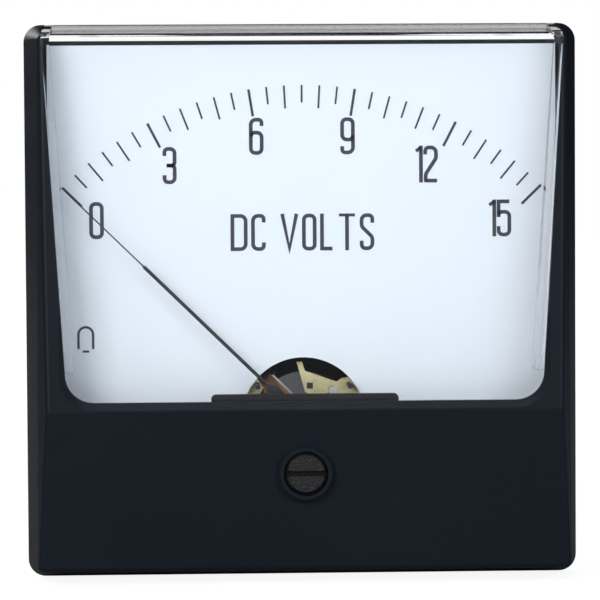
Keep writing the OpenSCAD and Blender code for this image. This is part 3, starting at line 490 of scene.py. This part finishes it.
def coil_tree(material):
    """Turns of wire on a rectangular former: one flattened loop, repeated side by side across its width."""
    t = Tree("coil_turns", [("Long Side", "NodeSocketFloat"), ("Short Side", "NodeSocketFloat"),
                            ("Corner", "NodeSocketFloat"), ("Wire", "NodeSocketFloat"),
                            ("Thickness", "NodeSocketFloat"), ("Pitch", "NodeSocketFloat"),
                            ("Turns", "NodeSocketInt")])
    loop = t.add("GeometryNodeCurvePrimitiveQuadrilateral", None,
                 {"Width": t.size("Short Side"), "Height": t.size("Long Side")})
    bent_loop = t.add("GeometryNodeFilletCurve", {"mode": "POLY"},
                      {"Curve": loop, "Radius": t.size("Corner"), "Count": 4})
    circle = t.add("GeometryNodeCurvePrimitiveCircle", None, {"Resolution": 10, "Radius": 1.0})
    section = t.add("GeometryNodeTransform", None,
                    {"Geometry": circle, "Scale": t.vector(t.size("Thickness"), t.size("Wire"), 1.0)})
    wire = t.add("GeometryNodeCurveToMesh", None, {"Curve": bent_loop, "Profile Curve": section})
    row = t.add("GeometryNodeMeshLine", None,
                {"Count": t.size("Turns"), "Offset": t.vector(0.0, 0.0, t.size("Pitch"))})
    turns = t.add("GeometryNodeInstanceOnPoints", None, {"Points": row, "Instance": wire})
    t.finish(turns, material)
    return t


# ---------------------------------------------------------------- printing on the dial

STROKE_W = 0.54
CAP_H = 5.30
GLYPH_W = 1.55
BEND_R = 0.62
SPACE_W = 0.55
H = CAP_H - STROKE_W
W = GLYPH_W
FULL = H + STROKE_W / 2
FOOT = -STROKE_W / 2

# Each stroke is (closed, stroke width, corners), and a corner is (across, up, radius of its bend).
# All are in millimetres.
GLYPHS = {
    "0": (W, [(True, STROKE_W, [(0, 0, BEND_R), (W, 0, BEND_R), (W, H, BEND_R), (0, H, BEND_R)])]),
    "1": (0.67, [(False, STROKE_W, [(0.67, FOOT, 0), (0.67, FULL, 0)]),
                 (False, STROKE_W * 0.9, [(-0.05, H - 0.52, 0), (0.67, H + 0.02, 0)])]),
    "2": (W + 0.1, [(False, STROKE_W, [(0, H - 1.0, 0), (0, H, 0.72), (W, H, 0.72), (W, H - 1.55, 0.9),
                                       (0.05, 0.95, 0.9), (0.05, 0, 0.05), (W + 0.15, 0, 0)])]),
    "3": (W - 0.1, [(False, STROKE_W, [(0, H - 1.0, 0), (0, H, BEND_R), (W - 0.1, H, BEND_R),
                                       (W - 0.1, H / 2, 0.5), (0.3, H / 2, 0)]),
                    (False, STROKE_W, [(0.3, H / 2, 0), (W - 0.1, H / 2, 0.5), (W - 0.1, 0, BEND_R),
                                       (0, 0, BEND_R), (0, 1.0, 0)])]),
    "5": (W + 0.05, [(False, STROKE_W, [(W, H, 0), (0, H, 0), (0, H - 2.25, 0)]),
                     (False, STROKE_W, [(0, H - 1.85, 0), (0.3, H - 1.5, 0.3), (W, H - 1.5, 0.72),
                                        (W, 0, BEND_R), (0, 0, BEND_R), (0, 1.2, 0)])]),
    "6": (W, [(False, STROKE_W, [(W, H - 0.9, 0), (W, H, 0.72), (0, H, 0.72), (0, 0, BEND_R), (W, 0, BEND_R),
                                 (W, H - 1.85, 0.72), (0.2, H - 1.85, 0.4), (0, H - 2.4, 0)])]),
    "9": (W, [(False, STROKE_W, [(0, 0.9, 0), (0, 0, 0.72), (W, 0, 0.72), (W, H, BEND_R), (0, H, BEND_R),
                                 (0, 1.85, 0.72), (W - 0.2, 1.85, 0.4), (W, 2.4, 0)])]),
    "D": (1.9, [(True, STROKE_W, [(0, 0, 0), (1.9, 0, 0.75), (1.9, H, 0.75), (0, H, 0)])]),
    "C": (W, [(False, STROKE_W, [(W, H - 0.95, 0), (W, H, 0.72), (0, H, 0.72), (0, 0, 0.72), (W, 0, 0.72),
                                 (W, 0.95, 0)])]),
    "V": (2.06, [(False, STROKE_W, [(0, FULL, 0), (1.03, 0, 0), (2.06, FULL, 0)])]),
    "O": (W, [(True, STROKE_W, [(0, 0, BEND_R), (W, 0, BEND_R), (W, H, BEND_R), (0, H, BEND_R)])]),
    "L": (1.5, [(False, STROKE_W, [(0, FULL, 0), (0, 0, 0), (1.5, 0, 0)])]),
    "T": (2.1, [(False, STROKE_W * 0.8, [(-0.1, H + 0.05, 0), (2.2, H + 0.05, 0)]),
                (False, STROKE_W, [(1.05, H, 0), (1.05, FOOT, 0)])]),
    "S": (W, [(False, STROKE_W, [(W, H - 1.1, 0), (W, H, 0.72), (0, H, 0.72), (0, H - 1.6, 0.8),
                                 (W, 1.6, 0.8), (W, 0, 0.72), (0, 0, 0.72), (0, 1.1, 0)])]),
    "coil sign": (2.1, [(False, 0.35, [(0, 0, 0), (0, 3.15, 1.05), (2.1, 3.15, 1.05), (2.1, 0, 0)]),
                        (False, 0.32, [(0.58, -0.35, 0), (1.52, -0.35, 0)])]),
}


def bent(corners, closed, steps=6):
    """A path through corners, each turned with its own radius."""
    path = []
    count = len(corners)
    for i, (x, z, r) in enumerate(corners):
        here = Vector((x, z))
        ends = not closed and i in (0, count - 1)
        if ends or r <= 0:
            path.append(here)
            continue
        before = Vector(corners[i - 1][:2]) - here
        after = Vector(corners[(i + 1) % count][:2]) - here
        angle = before.angle(after)
        back = min(r / math.tan(angle / 2), before.length * 0.499, after.length * 0.499)
        radius = back * math.tan(angle / 2)
        middle = here + (before.normalized() + after.normalized()).normalized() * radius / math.sin(angle / 2)
        start = here + before.normalized() * back - middle
        end = here + after.normalized() * back - middle
        sweep = start.angle_signed(end)
        for k in range(steps + 1):
            a = -sweep * k / steps
            path.append(middle + Vector((start.x * math.cos(a) - start.y * math.sin(a),
                                         start.x * math.sin(a) + start.y * math.cos(a))))
    return path


def stroke_prism(bm, path, closed, width, front, back):
    """A flat stroke with square ends: four corners at each point of the path, joined along it."""
    rings = []
    count = len(path)
    for i, here in enumerate(path):
        before = path[i - 1] if closed or i > 0 else None
        after = path[(i + 1) % count] if closed or i < count - 1 else None
        ways = [(here - before).normalized()] if before is not None else []
        ways += [(after - here).normalized()] if after is not None else []
        sides = [Vector((-w.y, w.x)) for w in ways]
        side = sum(sides, Vector((0, 0))).normalized()
        side *= width / 2 / max(0.35, side.dot(sides[0]))
        rings.append([bm.verts.new((p.x, y, p.y)) for p, y in
                      ((here - side, front), (here + side, front), (here + side, back), (here - side, back))])
    for a, b in list(zip(rings, rings[1:])) + ([(rings[-1], rings[0])] if closed else []):
        for k in range(4):
            bm.faces.new((a[k], a[(k + 1) % 4], b[(k + 1) % 4], b[k]))
    if not closed:
        bm.faces.new(rings[0][::-1])
        bm.faces.new(rings[-1])


def print_words(bm, words, middle_x, middle_z, gap, front, back):
    """Characters side by side round a middle, in millimetres."""
    widths = [GLYPHS[w][0] if w != " " else SPACE_W for w in words]
    x = middle_x - (sum(widths) + gap * (len(words) - 1)) / 2
    for word, width in zip(words, widths):
        if word != " ":
            for closed, stroke, corners in GLYPHS[word][1]:
                path = bent(corners, closed)
                path = [Vector((x + p.x, middle_z - H / 2 + p.y)) * MM for p in path]
                stroke_prism(bm, path, closed, stroke * MM, front, back)
        x += width + gap


NUMERAL_R = 41.2
TWO_DIGIT_SHIFT = 1.1
NUMERALS = ("0", "3", "6", "9", "12", "15")
SCALE_SWEEP = 91.5
NUMERAL_GAP = 0.62
WORD_GAP = 1.05
WORD_Z = 9.9
SIGN_X = -31.2
SIGN_Z = -4.3


def dial_words():
    """Plain numbers along the scale, the unit, and the usual sign for a moving-coil movement."""
    bm = bmesh.new()
    back = dial_y + 0.01 * MM
    for i, number in enumerate(NUMERALS):
        a = math.radians(SCALE_SWEEP * (i / (len(NUMERALS) - 1) - 0.5))
        inwards = TWO_DIGIT_SHIFT * (len(number) - 1)
        print_words(bm, list(number), NUMERAL_R * math.sin(a) - inwards,
                    pivot_z / MM + NUMERAL_R * math.cos(a), NUMERAL_GAP, print_y, back)
    print_words(bm, list("DC VOLTS"), 0, WORD_Z, WORD_GAP, print_y, back)
    print_words(bm, ["coil sign"], SIGN_X, SIGN_Z, 0, print_y, back)
    bmesh.ops.recalc_face_normals(bm, faces=bm.faces)
    mesh = bpy.data.meshes.new("dial_words")
    bm.to_mesh(mesh)
    bm.free()
    return mesh


# ---------------------------------------------------------------- threads

THREAD_DEPTH = 0.55      # of a pitch
THREAD_ROWS = 10         # along one pitch
THREAD_SIDES = 40
STUD_R = 1.5 * MM
STUD_PITCH = 0.5 * MM
STUD_THREAD_Y = -0.4 * MM
TERMINAL_R = 2.5 * MM
TERMINAL_PITCH = 0.8 * MM
TERMINAL_THREAD = 20.5 * MM


def along_y(mesh, x, y, z):
    """A mesh grown along Z is laid along Y, its foot at a place."""
    mesh.transform(Matrix.Translation((x, y, z)) @ Matrix.Rotation(-math.pi / 2, 4, "X"))
    return mesh


def joined(name, meshes):
    bm = bmesh.new()
    for mesh in meshes:
        bm.from_mesh(mesh)
    whole = bpy.data.meshes.new(name)
    bm.to_mesh(whole)
    bm.free()
    return whole


def islands(mesh):
    """The separate solids of a mesh, as lists of vertex places."""
    bm = bmesh.new()
    bm.from_mesh(mesh)
    bmesh.ops.remove_doubles(bm, verts=bm.verts, dist=1e-6)
    left = set(bm.verts)
    found = []
    while left:
        todo = [left.pop()]
        group = list(todo)
        while todo:
            for edge in todo.pop().link_edges:
                for vert in edge.verts:
                    if vert in left:
                        left.remove(vert)
                        todo.append(vert)
                        group.append(vert)
        found.append([v.co.copy() for v in group])
    bm.free()
    return found


def kept_in_front(node, y):
    """The part of a node's solids on the panel's front side of a plane, closed with flat caps."""
    bm = bmesh.new()
    bm.from_mesh(nodes[node].data)
    bmesh.ops.remove_doubles(bm, verts=bm.verts, dist=1e-6)
    cut = bmesh.ops.bisect_plane(bm, geom=bm.verts[:] + bm.edges[:] + bm.faces[:], plane_co=(0, y, 0),
                                 plane_no=(0, 1, 0), clear_outer=True)
    rims = [e for e in cut["geom_cut"] if isinstance(e, bmesh.types.BMEdge)]
    bmesh.ops.holes_fill(bm, edges=rims)
    bmesh.ops.recalc_face_normals(bm, faces=bm.faces)
    mesh = bpy.data.meshes.new(node + "_root")
    bm.to_mesh(mesh)
    bm.free()
    return mesh


def threaded(name, node, material, radius, pitch, start):
    """The node's studs with a real helical thread from a plane to their ends."""
    tree = thread_tree(material)
    meshes = [kept_in_front(node, start)]
    for places in islands(nodes[node].data):
        low, high = ([pick(p[i] for p in places) for i in range(3)] for pick in (min, max))
        length = high[1] - start
        shape = tree.grow(node + "_thread", {
            "Radius": radius, "Depth": pitch * THREAD_DEPTH, "Pitch": pitch, "Length": length,
            "Rows": round(length / pitch * THREAD_ROWS), "Sides": THREAD_SIDES, "Lead In": pitch})
        meshes.append(along_y(shape, (low[0] + high[0]) / 2, start, (low[2] + high[2]) / 2))
    return add_piece(name, joined(name, meshes), material, replaces=(node,))


# ---------------------------------------------------------------- moving coil

COIL_PITCH = 0.26 * MM
COIL_T = 0.75 * MM
COIL_CORNER = 0.5 * MM


def wound_coil(material):
    """Close turns of wire in place of the coil's plain block, at the pointer's angle of rest."""
    places = [v.co for v in nodes["coil_winding"].data.vertices]
    low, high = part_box("coil_winding")
    a = math.radians(SCALE_SWEEP / 2)
    along = [p.x * -math.sin(a) + (p.z - pivot_z) * math.cos(a) for p in places]
    across = [p.x * math.cos(a) + (p.z - pivot_z) * math.sin(a) for p in places]
    width = max(across) - min(across)
    turns = round(width / COIL_PITCH)
    pitch = width / turns
    tree = coil_tree(material)
    mesh = tree.grow("coil_turns", {
        "Long Side": max(along) - min(along) - COIL_T, "Short Side": high[1] - low[1] - COIL_T,
        "Corner": COIL_CORNER, "Wire": pitch / 2, "Thickness": COIL_T / 2, "Pitch": pitch, "Turns": turns})
    mesh.transform(Matrix.Translation((0, (low[1] + high[1]) / 2, pivot_z))
                   @ Matrix.Rotation(-a, 4, "Y")
                   @ Matrix.Translation(((min(across) + pitch / 2), 0, 0))
                   @ Matrix.Rotation(math.pi / 2, 4, "Y") @ Matrix.Rotation(math.pi / 2, 4, "Z"))
    return add_piece("coil_turns", mesh, material, "pointer", ("coil_winding",))


# ---------------------------------------------------------------- materials in use

case_black = moulded_black("case_black", (0.0090, 0.0150, 0.0235, 1), 0.42, 1400.0, 0.10)
barrel_black = moulded_black("barrel_black", (0.014, 0.014, 0.015, 1), 0.45, 900.0, 0.08)
fine_black = moulded_black("fine_black", (0.010, 0.010, 0.011, 1), 0.38, 1800.0, 0.05)
screw_black = grained_screw(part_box("zero_screw")[0][1])
cover = clear_cover()
enamel = dial_enamel()
ink = printing_ink()
steel = metal("bright_steel", (0.50, 0.50, 0.51, 1), (0.72, 0.72, 0.73, 1), 0.22, (1, 0.15, 1))
brass = metal("new_brass", (0.62, 0.46, 0.20, 1), (0.86, 0.70, 0.36, 1), 0.22, (1, 0.2, 1), tarnish=0.15)
old_brass = metal("old_brass", (0.42, 0.37, 0.16, 1), (0.95, 0.88, 0.55, 1), 0.34, (0.5, 1, 0.5), 1100.0,
                  0.45, 0.55)
aluminium = metal("plain_aluminium", (0.60, 0.61, 0.62, 1), (0.80, 0.81, 0.82, 1), 0.30, (1, 1, 0.2))
zinc = metal("zinc_plate", (0.52, 0.54, 0.56, 1), (0.74, 0.76, 0.78, 1), 0.34, (1, 1, 1), 250.0, 0.2)
solder = metal("solder_grey", (0.45, 0.46, 0.47, 1), (0.62, 0.63, 0.64, 1), 0.38)
bronze = metal("spring_bronze", (0.55, 0.38, 0.20, 1), (0.75, 0.56, 0.32, 1), 0.25, (1, 0.2, 1))
magnet_grey = metal("magnet_grey", (0.16, 0.16, 0.17, 1), (0.26, 0.26, 0.27, 1), 0.45, (1, 1, 1), 300.0, 0.3)
soft_iron = metal("soft_iron", (0.30, 0.30, 0.31, 1), (0.45, 0.45, 0.46, 1), 0.40, (1, 0.3, 1), 300.0, 0.2)
tinned = metal("tinned", (0.58, 0.58, 0.57, 1), (0.78, 0.78, 0.77, 1), 0.26)
copper = wound_wire("copper_turns", (0.16, 0.07, 0.03, 1), (0.62, 0.36, 0.17, 1), 0.00016, "Y")
green_wire = wound_wire("resistor_turns", (0.10, 0.05, 0.02, 1), (0.45, 0.24, 0.09, 1), 0.00022, "Y")
board = painted("bobbin_board", (0.42, 0.30, 0.17, 1), 0.6)
red_sleeve = painted("red_sleeve", (0.45, 0.03, 0.03, 1), 0.45)
pointer_black = painted("pointer_black", (0.014, 0.014, 0.016, 1), 0.42)


# ---------------------------------------------------------------- pieces

dress("front_case", case_black)
even_cover(dress("window", cover, 30.0))
dress("zero_screw", screw_black, 35.0)
dress("bridge_shield", fine_black)
dress("rear_case", barrel_black)

paint(enamel, "dial_plate")
paint(ink, "scale_marks")
paint(pointer_black, "pointer", "pointer_root", "pointer_stops")
paint(solder, "balance_weights")
paint(old_brass, "core_plate", "front_bridge", "rear_bridge", "movement_frame")
paint(steel, "front_pivot", "rear_pivot", "dial_screws", "bridge_screws", "movement_screws", "zero_clip")
paint(brass, "front_jewel", "rear_jewel", "jewel_nuts", "dial_posts", "bridge_posts", "rear_posts",
      "terminal_nuts", "zero_lever", "resistor_screw", "core_supports")
paint(bronze, "front_hairspring", "rear_hairspring")
paint(aluminium, "coil_former")
paint(magnet_grey, "core_magnet")
paint(soft_iron, "yoke_ring")
paint(zinc, "case_screws", "terminal_washers")
paint(tinned, "terminal_lugs")
paint(board, "resistor_bobbin")
paint(green_wire, "resistor_winding")
paint(red_sleeve, "lead_wires")

add_piece("dial_words", dial_words(), ink)
threaded("panel_studs", "mounting_studs", zinc, STUD_R, STUD_PITCH, STUD_THREAD_Y)
threaded("terminal_threads", "terminal_studs", brass, TERMINAL_R, TERMINAL_PITCH,
         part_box("terminal_studs")[1][1] - TERMINAL_THREAD)
wound_coil(copper)


# ---------------------------------------------------------------- floor, backdrop and light

# The glow rises to full white between these distances from the meter, in metres.
GLOW_NEAR = 0.15
GLOW_FAR = 0.7


def stage_finish(name, tone, glow, keeps_shadow):
    """Matt stage. The glow is what the camera sees, straight or through clear plastic."""
    f = Finish(name)
    grain = f.noise(40.0, 2.0, 0.5)
    matt = f.surface(Base_Color=f.blend(grain, tone, [c * 0.96 for c in tone[:3]] + [1]), Roughness=0.95,
                     Specular_IOR_Level=0.1)
    path = f.nt.nodes.new("ShaderNodeLightPath")
    through = Sock(f, path.outputs["Is Transmission Ray"])
    seen = Sock(f, path.outputs["Is Camera Ray"]).math("MAXIMUM", through)
    away = f.node("ShaderNodeVectorMath", {"operation": "LENGTH"}, [f.object_place], "Value")
    rise = f.band(away, GLOW_NEAR, GLOW_FAR, glow, 1.0)
    white = f.node("ShaderNodeEmission", {}, [(1, 1, 1, 1), seen * rise])
    if keeps_shadow:
        return f.done(f.node("ShaderNodeAddShader", {}, [matt, white]))
    return f.done(f.node("ShaderNodeMixShader", {}, [seen, matt, white]))


def panel(name, material, width, height, place, turn):
    w, h = width / 2, height / 2
    obj = bpy.data.objects.new(name, mesh_from(name, [(-w, -h, 0), (w, -h, 0), (w, h, 0), (-w, h, 0)],
                                               [(0, 1, 2, 3)]))
    obj.data.materials.append(material)
    bpy.context.scene.collection.objects.link(obj)
    obj.location = place
    obj.rotation_euler = turn
    return obj


def lamp(name, size, energy, place, colour):
    data = bpy.data.lights.new(name, "AREA")
    data.shape = "RECTANGLE"
    data.size, data.size_y = size
    data.energy = energy
    data.color = colour
    obj = bpy.data.objects.new(name, data)
    bpy.context.scene.collection.objects.link(obj)
    obj.location = place
    obj.rotation_euler = (-Vector(place)).to_track_quat("-Z", "Y").to_euler()
    return obj


FLOOR_Z = -0.0401
panel("floor", stage_finish("floor_white", grey(0.4), 0.90, True), 6.0, 4.4, (0, 0, FLOOR_Z), (0, 0, 0))
panel("backdrop", stage_finish("backdrop_white", (0.010, 0.014, 0.028, 1), 1.0, False), 6.0, 4.0,
      (0, 2.2, 1.9), (math.pi / 2, 0, 0))

lamp("key", (0.45, 0.45), 4.1, (-0.52, -0.84, 0.36), (1.0, 0.965, 0.95))
lamp("fill", (0.45, 0.45), 2.5, (0.56, -0.86, 0.28), (0.95, 0.97, 1.0))
lamp("top", (0.7, 0.25), 0.9, (0, 0.05, 0.8), (1.0, 1.0, 1.0))
lamp("rear", (0.5, 0.4), 2.0, (-0.55, 0.95, 0.45), (1.0, 0.98, 0.95))

world = bpy.data.worlds.new("studio")
world.use_nodes = True
background = world.node_tree.nodes["Background"]
background.inputs[0].default_value = (0.80, 0.90, 1.0, 1)
background.inputs[1].default_value = 0.16
bpy.context.scene.world = world
bpy.context.scene.view_settings.view_transform = "Standard"
